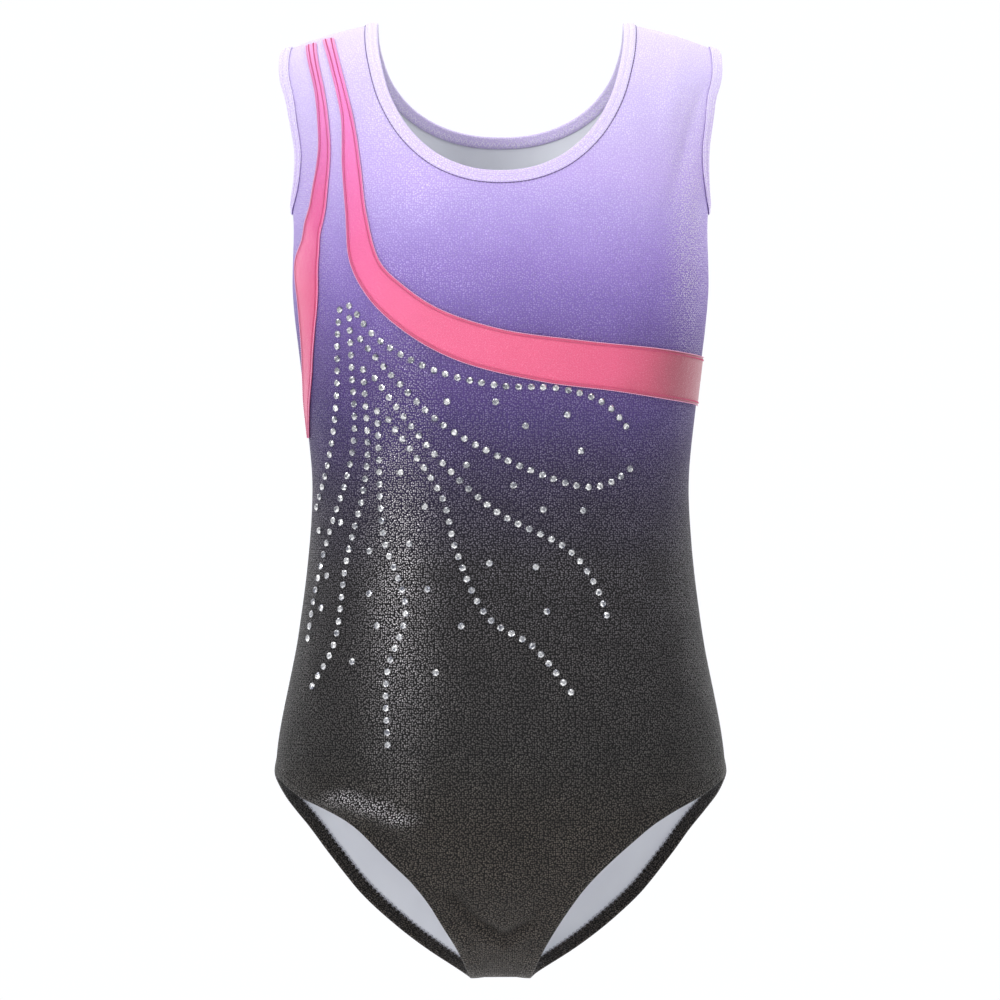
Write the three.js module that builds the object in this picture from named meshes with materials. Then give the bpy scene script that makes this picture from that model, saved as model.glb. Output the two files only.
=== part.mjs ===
// Child's sleeveless gymnastics leotard, size 6 to 7 years, filled out as on a body.
// Millimetres, +Z up. The front faces -Y and the wearer's left is +X.
// The origin is midway between the shoulders, level with the top of the shoulder seams.
import * as THREE from 'three';

// Lengths down the body, from the top of the shoulder seams. A rise is measured up from the crotch.
const bodyLength = 520;
const armholeDrop = 96.5;
const frontNeckDrop = 82;
const backNeckDrop = 59.5;
const chestLevel = 148;
const waistLevel = 256;
const hipRise = 118;
const legRise = 111;
const hipLevel = bodyLength - hipRise;
const legTop = bodyLength - legRise;

// Widths from the centre, and depths from the plane of the side seams.
const shoulderHalfWidth = 119.3;
const neckHalfWidth = 66.7;
const chestHalfWidth = 113;
const waistHalfWidth = 102.4;
const hipHalfWidth = 122;
const crotchHalfWidth = 17;
const chestFront = 77;
const chestBack = 74;
const waistFront = 70;
const waistBack = 63;
const hipFront = 76;
const hipBack = 87;

// How softly the form closes over the shoulders and under the crotch.
const shoulderRound = 60;
const crotchRound = 100;
const sectionPower = 2.3;
const necklinePower = 2.2;
const shoulderSlope = 0.0363;
const shoulderSlopeStart = 62;
const slopeFade = 140;

// Cloth and trims.
const fabricThickness = 0.7;
const seamGap = 0.4;
const trimLift = 0.9;
const innerLift = 1.0;
const bindingWidth = 6.6;
const hemWidth = 8;
const foldThickness = 0.45;
const foldRoom = 1.05;
const foldGap = 0.35;
const elasticWidth = 2.2;
const elasticThickness = 0.8;
const cutGap = 1.2;
const cutInset = foldThickness + foldGap + elasticWidth + cutGap;
const stripeThickness = 0.4;
const seamWidth = 6;
const seamThickness = 0.8;
const liningThickness = 0.5;
const liningRise = 68;
const tapeClearance = 4.7;
const tapeWidth = 6;
const tapeThickness = 0.8;
const tapeDepth = 2.4;
const stoneDiameter = 4;
const stoneHeight = 1.6;
const stonePitch = 6.6;
const stoneGap = 0.4;
const stoneSides = 6;
const tableShare = 0.55;
const glueWidth = 1.2;
const glueThickness = 0.3;

// Steps of the facets.
const neckSteps = 48;
const armholeSteps = 40;
const legSteps = 42;
const traceSteps = 240;
const neckRows = 11;
const armRows = 16;
const rowPitch = 18;
const sideRows = Math.round((legTop - armholeDrop) / rowPitch);
const legRows = 17;
const columnShares = [0, 0.17, 0.33, 0.48, 0.62, 0.75, 0.86, 0.945, 1];

// The form is a stack of soft-cornered sections: drop, half width, front depth, back depth.
const sections = [
  [0, shoulderHalfWidth + 27, chestFront - 11, chestBack - 8],
  [45, shoulderHalfWidth + 6, chestFront - 6, chestBack - 3],
  [armholeDrop, chestHalfWidth + 0.3, chestFront - 1, chestBack + 1],
  [chestLevel, chestHalfWidth, chestFront, chestBack],
  [(chestLevel + waistLevel) / 2, waistHalfWidth + 4.6, waistFront + 4, waistBack + 5],
  [waistLevel, waistHalfWidth, waistFront, waistBack],
  [waistLevel + 0.48 * (hipLevel - waistLevel), waistHalfWidth + 6.4, waistFront + 3, waistBack + 12],
  [hipLevel, hipHalfWidth, hipFront, hipBack],
  [hipLevel + 48, hipHalfWidth - 3, hipFront - 1, hipBack + 1],
  [bodyLength, hipHalfWidth - 24, hipFront - 10, hipBack - 9],
];

function slopeAt(index, column) {
  const before = sections[Math.max(index - 1, 0)];
  const after = sections[Math.min(index + 1, sections.length - 1)];
  return (after[column] - before[column]) / (after[0] - before[0]);
}

// A smooth curve through one column of the sections.
function sectionValue(drop, column) {
  let index = 0;
  while (index < sections.length - 2 && sections[index + 1][0] < drop) index += 1;
  const from = sections[index];
  const to = sections[index + 1];
  const span = to[0] - from[0];
  const s = (drop - from[0]) / span;
  const keepFrom = 2 * s ** 3 - 3 * s ** 2 + 1;
  const leave = (s ** 3 - 2 * s ** 2 + s) * span * slopeAt(index, column);
  const arrive = (s ** 3 - s ** 2) * span * slopeAt(index + 1, column);
  return keepFrom * from[column] + (1 - keepFrom) * to[column] + leave + arrive;
}

// Travel is the way down the cloth: over the shoulder, down the body, round to the crotch.
const shoulderArc = shoulderRound * Math.PI / 2;
const crotchArc = crotchRound * Math.PI / 2;
const travelEnd = shoulderArc + bodyLength - shoulderRound - crotchRound + crotchArc;

function levelAt(travel) {
  if (travel < shoulderArc) {
    const turn = travel / shoulderRound;
    return { drop: shoulderRound * (1 - Math.cos(turn)), bulge: Math.sin(turn) };
  }
  if (travel > travelEnd - crotchArc) {
    const turn = (travelEnd - travel) / crotchRound;
    return { drop: bodyLength - crotchRound * (1 - Math.cos(turn)), bulge: Math.sin(turn) };
  }
  return { drop: shoulderRound + travel - shoulderArc, bulge: 1 };
}

function travelAt(drop) {
  if (drop < shoulderRound) return shoulderRound * Math.acos(1 - Math.max(drop, 0) / shoulderRound);
  const rise = Math.max(bodyLength - drop, 0);
  if (rise < crotchRound) return travelEnd - crotchRound * Math.acos(1 - rise / crotchRound);
  return shoulderArc + drop - shoulderRound;
}

// The shoulder line falls away from the neck to the tip, and the fall fades out below it.
function shoulderFall(across, drop) {
  const beyond = Math.max(Math.abs(across) - shoulderSlopeStart, 0);
  const fade = Math.max(1 - drop / slopeFade, 0) ** 2;
  return shoulderSlope * beyond ** 1.5 * fade;
}

// How far out a soft-cornered section with sides of 1 reaches, at an angle.
function cornerSize(sine, cosine, power) {
  return (Math.abs(sine) ** power + Math.abs(cosine) ** power) ** (1 / power);
}

// A point of the form. The angle is 0 at the centre front and 180 degrees at the centre back.
// Past either end of the travel the point goes on over the shoulder or under the crotch.
function formPoint(angle, travel) {
  if (travel < 0) return formPoint(Math.PI - angle, -travel);
  if (travel > travelEnd) return formPoint(Math.PI - angle, 2 * travelEnd - travel);
  const { drop, bulge } = levelAt(travel);
  const sine = Math.sin(angle);
  const cosine = Math.cos(angle);
  const size = cornerSize(sine, cosine, sectionPower);
  const across = sectionValue(drop, 1) * sine / size;
  const depth = sectionValue(drop, cosine > 0 ? 2 : 3);
  return new THREE.Vector3(across, -depth * bulge * cosine / size, -drop - shoulderFall(across, drop));
}

// The place on the form, the way out of the cloth, and the two ways along it.
function clothFrame(angle, travel) {
  const small = 0.001;
  const place = formPoint(angle, travel);
  const slope = (ahead, behind) => ahead.sub(behind).divideScalar(2 * small);
  const around = slope(formPoint(angle + small, travel), formPoint(angle - small, travel));
  const down = slope(formPoint(angle, travel + small), formPoint(angle, travel - small));
  const out = down.clone().cross(around).normalize();
  return { angle, travel, place, around, down, out };
}

// The frame on the cloth that lies nearest to a point close to it.
function settle(target, guess) {
  let { angle, travel } = guess;
  for (let round = 0; round < 6; round += 1) {
    const here = clothFrame(angle, travel);
    const miss = target.clone().sub(here.place);
    const aa = here.around.dot(here.around);
    const ad = here.around.dot(here.down);
    const dd = here.down.dot(here.down);
    const ma = miss.dot(here.around);
    const md = miss.dot(here.down);
    const det = aa * dd - ad * ad;
    angle += (ma * dd - md * ad) / det;
    travel += (md * aa - ma * ad) / det;
  }
  if (travel < 0) return clothFrame(Math.PI - angle, -travel);
  if (travel > travelEnd) return clothFrame(Math.PI - angle, 2 * travelEnd - travel);
  return clothFrame(angle, travel);
}

// The cloth frame at a place given as it is seen from the front: across and down.
function seen(across, down, onBack = false) {
  let drop = down;
  for (let round = 0; round < 12; round += 1) drop = Math.max(down - shoulderFall(across, drop), 0);
  const share = Math.min(Math.abs(across) / sectionValue(drop, 1), 0.9999);
  const rest = (1 - share ** sectionPower) ** (1 / sectionPower);
  const angle = Math.atan2(share, onBack ? -rest : rest);
  return clothFrame(across < 0 ? -angle : angle, travelAt(drop));
}

// A closed or open run of frames, evenly spaced, through a few frames on the cloth.
function runThrough(frames, closed, count) {
  const curve = new THREE.CatmullRomCurve3(frames.map((frame) => frame.place), closed, 'centripetal');
  curve.arcLengthDivisions = 600;
  const total = closed ? frames.length : frames.length - 1;
  const run = [];
  for (let step = 0; step < (closed ? count : count + 1); step += 1) {
    const share = step / count;
    const place = curve.getPointAt(share);
    const nearest = Math.round(curve.getUtoTmapping(share) * total) % frames.length;
    run.push(settle(place, frames[nearest]));
  }
  return run;
}

// Each frame of a closed run gets the way along the cloth that leads away from the hole.
function aimAway(run) {
  const middle = new THREE.Vector3();
  run.forEach((frame) => middle.addScaledVector(frame.place, 1 / run.length));
  let facing = 0;
  run.forEach((frame, index) => {
    const next = run[(index + 1) % run.length].place;
    const before = run[(index + run.length - 1) % run.length].place;
    frame.away = frame.out.clone().cross(next.clone().sub(before)).normalize();
    facing += frame.away.dot(frame.place.clone().sub(middle));
  });
  if (facing < 0) run.forEach((frame) => frame.away.negate());
  return run;
}

function moveAway(run, distance) {
  return run.map((frame) => settle(frame.place.clone().addScaledVector(frame.away, distance), frame));
}

// Openings. Each edge is the finished edge of the garment, as a few frames on the cloth.
const radians = THREE.MathUtils.degToRad;

function neckEdge() {
  const frames = [];
  const count = 24;
  for (let step = 0; step < count; step += 1) {
    const turn = 2 * Math.PI * step / count;
    const sine = Math.sin(turn);
    const cosine = Math.cos(turn);
    const size = cornerSize(sine, cosine, necklinePower);
    const drop = cosine > 0 ? frontNeckDrop : backNeckDrop;
    frames.push(seen(neckHalfWidth * sine / size, drop * Math.abs(cosine) / size, cosine < -1e-9));
  }
  return frames;
}

// Angle from the centre front, and share of the armhole's depth.
const armholeOutline = [[59.7, 0.31], [63.6, 0.53], [67, 0.735], [75, 0.91]];

function armholeEdge(side) {
  const half = armholeOutline.map(([angle, share]) => [radians(angle), travelAt(share * armholeDrop)]);
  const tip = seen(shoulderHalfWidth, 0);
  const frames = [
    [tip.angle, 0],
    ...half,
    [Math.PI / 2, travelAt(armholeDrop)],
    ...half.toReversed().map(([angle, travel]) => [Math.PI - angle, travel]),
  ];
  return frames.map(([angle, travel]) => clothFrame(side * angle, travel));
}

// Share of the way from the crotch out to the hip, and share of the way down from the hip.
const frontLegOutline = [
  [0.867, 0.108], [0.643, 0.228], [0.428, 0.396], [0.27, 0.553], [0.137, 0.733], [0.04, 0.9],
];
const backLegOutline = [
  [0.04, 0.977], [0.187, 0.898], [0.394, 0.757], [0.56, 0.616], [0.727, 0.42], [0.867, 0.239],
];

function legEdge(side) {
  const spot = ([outward, down], onBack) => seen(
    side * (crotchHalfWidth + (hipHalfWidth - crotchHalfWidth) * outward),
    legTop + (bodyLength - legTop) * down,
    onBack,
  );
  return [
    clothFrame(side * Math.PI / 2, travelAt(legTop)),
    ...frontLegOutline.map((pair) => spot(pair, false)),
    seen(side * crotchHalfWidth, bodyLength),
    ...backLegOutline.map((pair) => spot(pair, true)),
  ];
}

// Solids.
const materials = {};

function material(name, color, roughness, metalness) {
  materials[name] = new THREE.MeshStandardMaterial({ name, color, roughness, metalness });
}

material('foil_spandex', '#7d6ca6', 0.42, 0.15);
material('neck_spandex', '#dccff5', 0.5, 0.05);
material('pink_foil', '#ee6fa6', 0.35, 0.15);
material('lining_jersey', '#d4d6df', 0.85, 0);
material('elastic', '#f1f1f1', 0.8, 0);
material('thread', '#55505f', 0.8, 0);
material('rhinestone', '#eef0f8', 0.1, 0.2);

const garment = new THREE.Group();

function addPiece(name, geometry, finish) {
  const mesh = new THREE.Mesh(geometry, materials[finish]);
  mesh.name = name;
  garment.add(mesh);
}

function closedGeometry(points, faces) {
  const positions = faces.flatMap((face) => face.flatMap((corner) => points[corner].toArray()));
  const geometry = new THREE.BufferGeometry();
  geometry.setAttribute('position', new THREE.Float32BufferAttribute(positions, 3));
  return geometry;
}

// Cloth of some thickness over a sheet of faces: both faces, and a wall at every free edge.
function thicken(sheet, low, high) {
  const count = sheet.frames.length;
  const lift = (height) => sheet.frames.map(({ place, out }) => place.clone().addScaledVector(out, height));
  const points = [...lift(high), ...lift(low)];
  const edges = new Map();
  const faces = [];
  for (const face of sheet.faces) {
    const [a, b, c] = face;
    faces.push(face, [c + count, b + count, a + count]);
    for (const [from, to] of [[a, b], [b, c], [c, a]]) {
      if (!edges.delete(`${to},${from}`)) edges.set(`${from},${to}`, [from, to]);
    }
  }
  for (const [from, to] of edges.values()) {
    faces.push([to, from, from + count], [to, from + count, to + count]);
  }
  return closedGeometry(points, faces);
}

// Whether rows laid down the form in this order turn their faces out of the cloth.
function runsOutwards(block) {
  let turn = 0;
  for (let row = 0; row + 1 < block.length; row += 1) {
    const corner = block[row][0];
    const along = block[row].at(-1);
    const below = block[row + 1][0];
    turn += (along.angle - corner.angle) * (below.travel - corner.travel);
    turn -= (along.travel - corner.travel) * (below.angle - corner.angle);
  }
  return turn > 0;
}

// A sheet from blocks of rows of frames, all rows in a block equally long.
function sheetOf(blocks) {
  const frames = [];
  const faces = [];
  const known = new Map();
  const index = (frame) => {
    const key = frame.place.toArray().map((value) => Math.round(value * 1000)).join();
    if (!known.has(key)) {
      known.set(key, frames.length);
      frames.push(frame);
    }
    return known.get(key);
  };
  const addFace = (face) => {
    if (new Set(face).size === 3) faces.push(face);
  };
  for (const block of blocks) {
    const outwards = runsOutwards(block);
    for (let row = 0; row + 1 < block.length; row += 1) {
      for (let column = 0; column + 1 < block[row].length; column += 1) {
        const upper = [block[row][column], block[row][column + 1]];
        const lower = [block[row + 1][column], block[row + 1][column + 1]];
        const [a, d] = upper.map(index);
        const [b, c] = lower.map(index);
        addFace(outwards ? [a, b, c] : [c, b, a]);
        addFace(outwards ? [a, c, d] : [d, c, a]);
      }
    }
  }
  return { frames, faces };
}

// A section carried along a run, or a frame's own section where it has one.
// The points of a section are [along the cloth, out of the cloth].
function sweep(run, section, closed) {
  const points = [];
  const faces = [];
  const sides = section.length;
  for (const frame of run) {
    for (const [inward, outward] of frame.section ?? section) {
      const foot = settle(frame.place.clone().addScaledVector(frame.away, inward), frame);
      points.push(foot.place.clone().addScaledVector(foot.out, outward));
    }
  }
  const steps = closed ? run.length : run.length - 1;
  for (let step = 0; step < steps; step += 1) {
    const here = step * sides;
    const next = ((step + 1) % run.length) * sides;
    for (let side = 0; side < sides; side += 1) {
      const other = (side + 1) % sides;
      faces.push([here + side, here + other, next + other], [here + side, next + other, next + side]);
    }
  }
  if (!closed) {
    const last = (run.length - 1) * sides;
    for (let side = 1; side + 1 < sides; side += 1) {
      faces.push([0, side + 1, side], [last, last + side, last + side + 1]);
    }
  }
  let volume = 0;
  for (const [a, b, c] of faces) volume += points[a].dot(points[b].clone().cross(points[c]));
  if (volume < 0) faces.forEach((face) => face.reverse());
  return closedGeometry(points, faces);
}

// Body panels. Each half is laid in rows from its inner edge to its outer edge.
function mirrored(frame) {
  return clothFrame(-frame.angle, frame.travel);
}

// The frames of a run that lie on one quarter, ending on its seams, evenly spaced again.
function quarter(run, face, count) {
  const inside = (frame) => face * frame.place.y > seamGap / 2 && frame.place.x > -1e-6;
  const doubled = [...run, ...run];
  const enters = (frame, index) => index > 0 && inside(frame) && !inside(doubled[index - 1]);
  const first = doubled.findIndex(enters);
  let last = first;
  while (inside(doubled[last + 1])) last += 1;
  const kept = doubled.slice(first, last + 1);
  const meet = (from, to) => {
    const limit = face * seamGap / 2;
    const crossesSeam = face * to.place.y <= seamGap / 2;
    const share = crossesSeam
      ? (limit - from.place.y) / (to.place.y - from.place.y)
      : from.place.x / (from.place.x - to.place.x);
    return settle(from.place.clone().lerp(to.place, share), from);
  };
  if (kept[0].place.x > 0.01) kept.unshift(meet(doubled[first], doubled[first - 1]));
  if (kept.at(-1).place.x > 0.01) kept.push(meet(doubled[last], doubled[last + 1]));
  const curve = new THREE.CatmullRomCurve3(kept.map((frame) => frame.place));
  return curve.getSpacedPoints(count).map((place, step) => {
    return settle(place, kept[Math.round(step / count * (kept.length - 1))]);
  });
}

function downwards(run) {
  return run[0].place.z < run.at(-1).place.z ? run.toReversed() : run;
}

function between(inner, outer, share) {
  const angle = inner.angle + (outer.angle - inner.angle) * share;
  const travel = inner.travel + (outer.travel - inner.travel) * share;
  return clothFrame(angle, travel);
}

function straightDown(angleAt, from, to, count) {
  const run = [];
  for (let step = 0; step <= count; step += 1) {
    const travel = from + (to - from) * step / count;
    run.push(clothFrame(angleAt(travel), travel));
  }
  return run;
}

const neckRun = aimAway(runThrough(neckEdge(), true, traceSteps));
const leftArmRun = aimAway(runThrough(armholeEdge(1), true, traceSteps));
const leftLegRun = aimAway(runThrough(legEdge(1), true, traceSteps));
const neckCut = moveAway(neckRun, cutInset);
const leftArmCut = moveAway(leftArmRun, cutInset);
const leftLegCut = moveAway(leftLegRun, cutInset);

function panelEdges(face) {
  const centre = face < 0 ? 0 : Math.PI;
  const neck = downwards(quarter(neckCut, face, neckRows));
  const arm = downwards(quarter(leftArmCut, face, armRows));
  const leg = downwards(quarter(leftLegCut, face, legRows));
  neck[neckRows] = clothFrame(centre, neck[neckRows].travel);
  const seamTurn = (travel) => Math.PI / 2 + face * (seamGap / 2) / sectionValue(levelAt(travel).drop, 1);
  const crotch = travelEnd - seamGap / 2 * crotchRound / (face < 0 ? hipFront : hipBack);
  const side = straightDown(seamTurn, arm[armRows].travel, leg[0].travel, sideRows);
  const yoke = straightDown(() => centre, neck[neckRows].travel, arm[armRows].travel, armRows - neckRows);
  const middle = straightDown(() => centre, arm[armRows].travel, leg[0].travel, sideRows);
  const bottom = straightDown(() => centre, leg[0].travel, crotch, legRows);
  const inner = [...neck, ...yoke.slice(1), ...middle.slice(1), ...bottom.slice(1)];
  const outer = [...arm, ...side.slice(1), ...leg.slice(1)];
  return { inner, outer, side };
}

function panelSheet(face) {
  const { inner, outer } = panelEdges(face);
  const half = inner.map((frame, row) => columnShares.map((share) => between(frame, outer[row], share)));
  return sheetOf([half, half.map((row) => row.map(mirrored))]);
}

const halfFabric = fabricThickness / 2;
const frontSheet = panelSheet(-1);
const backSheet = panelSheet(1);
addPiece('front_panel', thicken(frontSheet, -halfFabric, halfFabric), 'foil_spandex');
addPiece('back_panel', thicken(backSheet, -halfFabric, halfFabric), 'foil_spandex');

// Folded bindings and hems, with the elastic lying in the fold beyond the panel's cut edge.
function foldSection(width) {
  const outside = foldRoom + foldThickness;
  return [
    [0, -outside], [width, -outside], [width, -foldRoom], [foldThickness, -foldRoom],
    [foldThickness, foldRoom], [width, foldRoom], [width, outside], [0, outside],
  ];
}

function blockSection(from, to, low, high) {
  return [[from, low], [to, low], [to, high], [from, high]];
}

const elasticFrom = foldThickness + foldGap;
const elasticSection = blockSection(
  elasticFrom, elasticFrom + elasticWidth, -elasticThickness / 2, elasticThickness / 2,
);

function addEdge(name, elasticName, frames, steps, width, finish) {
  const run = aimAway(runThrough(frames, true, steps));
  addPiece(name, sweep(run, foldSection(width), true), finish);
  addPiece(elasticName, sweep(run, elasticSection, true), 'elastic');
}

addEdge('neck_binding', 'neck_elastic', neckEdge(), neckSteps, bindingWidth, 'neck_spandex');
for (const [side, word] of [[1, 'left'], [-1, 'right']]) {
  addEdge(`${word}_armhole_binding`, `${word}_armhole_elastic`, armholeEdge(side), armholeSteps,
    bindingWidth, 'foil_spandex');
  addEdge(`${word}_leg_hem`, `${word}_leg_elastic`, legEdge(side), legSteps, hemWidth, 'foil_spandex');
}

// Side seams: an overlocked ridge inside, from the armhole binding to the leg hem.
const sideEdges = panelEdges(-1).side;
const seamEndGap = bindingWidth - cutInset + 0.6;
const hemEndGap = hemWidth - cutInset + 0.6;
for (const [side, word] of [[1, 'left'], [-1, 'right']]) {
  const travels = sideEdges.map((frame) => frame.travel);
  travels[0] += seamEndGap;
  travels[sideRows] -= hemEndGap;
  const run = travels.map((travel) => {
    const frame = clothFrame(side * Math.PI / 2, travel);
    frame.away = frame.around.clone().normalize();
    return frame;
  });
  const section = blockSection(-seamWidth / 2, seamWidth / 2, -innerLift - seamThickness, -innerLift);
  addPiece(`${word}_side_seam`, sweep(run, section, false), 'thread');
}

// Shoulder seams: a straight flat tape under each, which is what rests on a hanger.
const tapeCentre = (neckHalfWidth + shoulderHalfWidth) / 2;
const tapeLength = shoulderHalfWidth - neckHalfWidth - 2 * (bindingWidth + tapeClearance);
const tapeTilt = Math.atan(1.5 * shoulderSlope * Math.sqrt(tapeCentre - shoulderSlopeStart));
const tapeHeight = -shoulderFall(tapeCentre, 0) - tapeDepth;
for (const [side, word] of [[1, 'left'], [-1, 'right']]) {
  const tape = new THREE.BoxGeometry(tapeLength, tapeWidth, tapeThickness);
  const mesh = new THREE.Mesh(tape, materials.elastic);
  mesh.name = `${word}_shoulder_tape`;
  mesh.position.set(side * tapeCentre, 0, tapeHeight);
  mesh.rotation.y = side * tapeTilt;
  garment.add(mesh);
}

// Crotch seam and the lining of the gusset, both inside.
const crotchRun = [];
const crotchSteps = 4;
const crotchReach = crotchHalfWidth - hemWidth - 0.6;
for (let step = 0; step <= crotchSteps; step += 1) {
  const frame = seen(crotchReach * (2 * step / crotchSteps - 1), bodyLength);
  frame.away = new THREE.Vector3(0, 1, 0);
  crotchRun.push(frame);
}
const crotchSection = blockSection(-seamWidth / 2, seamWidth / 2, -innerLift - seamThickness, -innerLift);
addPiece('crotch_seam', sweep(crotchRun, crotchSection, false), 'thread');

const hemInner = moveAway(leftLegRun, hemWidth + 0.6);
const liningRows = 8;
const liningColumns = 4;
const liningTop = bodyLength - liningRise;
const liningEdge = downwards(quarter(hemInner, -1, 40)).filter((frame) => -frame.place.z > liningTop);
const liningEnd = travelEnd - (seamWidth / 2 + 0.6) * crotchRound / hipFront;
const lining = [];
for (let row = 0; row <= liningRows; row += 1) {
  const travel = THREE.MathUtils.lerp(liningEdge[0].travel, liningEnd, row / liningRows);
  const outer = liningEdge.reduce((best, frame) => {
    return Math.abs(frame.travel - travel) < Math.abs(best.travel - travel) ? frame : best;
  });
  const line = [];
  for (let column = -liningColumns; column <= liningColumns; column += 1) {
    line.push(clothFrame(outer.angle * column / liningColumns, travel));
  }
  lining.push(line);
}
const liningLow = -innerLift - liningThickness;
addPiece('gusset_lining', thicken(sheetOf([lining]), liningLow, -innerLift), 'lining_jersey');

// The trims follow the bodice. Across is a share of its half width at that level. Down is 0 to 1 over
// the depth of the armhole and 1 to 2 from there to the crotch.
function onBodice([across, down]) {
  const drop = down < 1 ? down * armholeDrop : armholeDrop + (down - 1) * (bodyLength - armholeDrop);
  const above = Math.max(1 - down, 0);
  const half = sectionValue(Math.max(drop, armholeDrop), 1);
  return seen(across * (half + (shoulderHalfWidth - half) * above), drop);
}

// Appliqued stripes. Each edge is a few points on the bodice.
const chestStripeUpper = [
  [-0.7607, 0.0984], [-0.7308, 0.2694], [-0.6841, 0.5389], [-0.6565, 0.8187], [-0.6374, 1.0201],
  [-0.5721, 1.0815], [-0.4595, 1.1122], [-0.2938, 1.1421], [0, 1.1679], [0.3894, 1.1821],
  [0.7918, 1.1924], [1, 1.2019],
];
const chestStripeLower = [
  [-0.8133, 0.1088], [-0.7818, 0.2694], [-0.741, 0.5389], [-0.7448, 0.8187], [-0.7386, 1.0201],
  [-0.7163, 1.0815], [-0.6268, 1.1287], [-0.4336, 1.1771], [-0.2019, 1.209], [0.2044, 1.2349],
  [0.6072, 1.2479], [1, 1.2645],
];
const shoulderStripeInner = [
  [-0.8418, 0.1244], [-0.8103, 0.4041], [-0.796, 0.6839], [-0.8188, 0.9534], [-0.8559, 1.0508],
  [-0.8666, 1.0815], [-0.8732, 1.1287], [-0.9163, 1.1901], [-0.957, 1.2515], [-0.9869, 1.3058],
];
const shoulderStripeOuter = [
  [-0.8914, 0.1399], [-0.8573, 0.4041], [-0.8525, 0.6839], [-0.8919, 0.9534], [-0.9474, 1.0508],
  [-0.9816, 1.0815], [-0.9707, 1.1287], [-0.9754, 1.1901], [-0.9916, 1.2515], [-0.9945, 1.3058],
];

function stripe(upper, lower, steps, columns) {
  const upperRun = runThrough(upper.map(onBodice), false, steps);
  const lowerRun = runThrough(lower.map(onBodice), false, steps);
  const rows = upperRun.map((frame, row) => {
    const line = [];
    for (let column = 0; column <= columns; column += 1) {
      line.push(between(frame, lowerRun[row], column / columns));
    }
    return line;
  });
  return thicken(sheetOf([rows]), trimLift, trimLift + stripeThickness);
}

addPiece('chest_stripe', stripe(chestStripeUpper, chestStripeLower, 36, 3), 'pink_foil');
addPiece('shoulder_stripe', stripe(shoulderStripeInner, shoulderStripeOuter, 20, 3), 'pink_foil');

// Rhinestones. Rays of stones fan out from the right chest; single stones lie between them.
function stoneGeometry(frame) {
  const radius = stoneDiameter / 2;
  const stone = new THREE.CylinderGeometry(radius * tableShare, radius, stoneHeight, stoneSides);
  stone.rotateX(Math.PI / 2);
  stone.translate(0, 0, trimLift + stoneHeight / 2);
  const turn = new THREE.Quaternion().setFromUnitVectors(new THREE.Vector3(0, 0, 1), frame.out);
  stone.applyQuaternion(turn);
  stone.translate(frame.place.x, frame.place.y, frame.place.z);
  return stone;
}

const rays = [
  [
    [-0.769, 1.1381], [-0.7963, 1.1806], [-0.8209, 1.2444],
    [-0.8527, 1.2916], [-0.916, 1.3506], [-0.971, 1.3991],
  ],
  [
    [-0.7253, 1.1334], [-0.7292, 1.1641], [-0.7384, 1.2208], [-0.7479, 1.2916],
    [-0.8047, 1.3554], [-0.898, 1.4333], [-0.9371, 1.5041], [-0.941, 1.5679],
  ],
  [
    [-0.681, 1.2149], [-0.69, 1.32], [-0.7271, 1.3837],
    [-0.7923, 1.464], [-0.8117, 1.5726], [-0.8851, 1.6281],
  ],
  [
    [-0.6265, 1.268], [-0.6313, 1.3861], [-0.6025, 1.438],
    [-0.4728, 1.5254], [-0.5369, 1.6057], [-0.5018, 1.7025],
  ],
  [
    [-0.6996, 1.1452], [-0.6056, 1.1783], [-0.3503, 1.2184], [-0.0186, 1.2397],
    [0.3172, 1.2444], [0.5312, 1.2633], [0.6585, 1.2952],
  ],
  [
    [-0.6911, 1.1771], [-0.5544, 1.2231], [-0.2858, 1.2916], [0.1363, 1.3459],
    [0.459, 1.3695], [0.5858, 1.3625], [0.6907, 1.3436],
  ],
  [
    [-0.6359, 1.2267], [-0.3201, 1.3341], [-0.0243, 1.4002],
    [0.3645, 1.4522], [0.4884, 1.4994], [0.5307, 1.5372],
  ],
  [
    [-0.5817, 1.2798], [-0.3124, 1.3802], [-0.2304, 1.4498],
    [-0.0599, 1.536], [0.1578, 1.5726], [0.3359, 1.634],
  ],
];
const loneStones = [
  [-0.2724, 1.2609], [-0.0254, 1.2609], [0.1277, 1.2916], [0.3407, 1.2774], [0.4194, 1.3235],
  [0.0684, 1.3672], [-0.1789, 1.3412], [-0.5262, 1.3506], [-0.3996, 1.3943], [0.2241, 1.3979],
  [0.4354, 1.3991], [0.1808, 1.4711], [0.2315, 1.5277], [-0.0572, 1.4664], [-0.371, 1.4994],
  [-0.4757, 1.4416], [-0.6784, 1.451], [-0.6649, 1.5053], [-0.6117, 1.5462], [-0.7114, 1.5922],
  [-0.3081, 1.6057], [-0.1944, 1.5462], [-0.8861, 1.4829], [-0.9477, 1.425], [-0.8349, 1.4144],
  [-0.8961, 1.5242],
];

const placed = [];

function clearOfOthers(frame) {
  return placed.every((other) => other.distanceTo(frame.place) > stoneDiameter + stoneGap);
}

// A ray is one strip of hot-melt film that swells into a stone at every step.
const girdle = stoneDiameter / 2;
const glueTop = trimLift + glueThickness;
const stoneTop = trimLift + stoneHeight;
const glueSection = blockSection(-glueWidth / 2, glueWidth / 2, trimLift, glueTop);
const stoneSection = [
  [-girdle * 0.9, trimLift], [girdle * 0.9, trimLift], [girdle * tableShare, stoneTop],
  [-girdle * tableShare, stoneTop],
];
const stoneHalfLength = girdle * 0.65;

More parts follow.
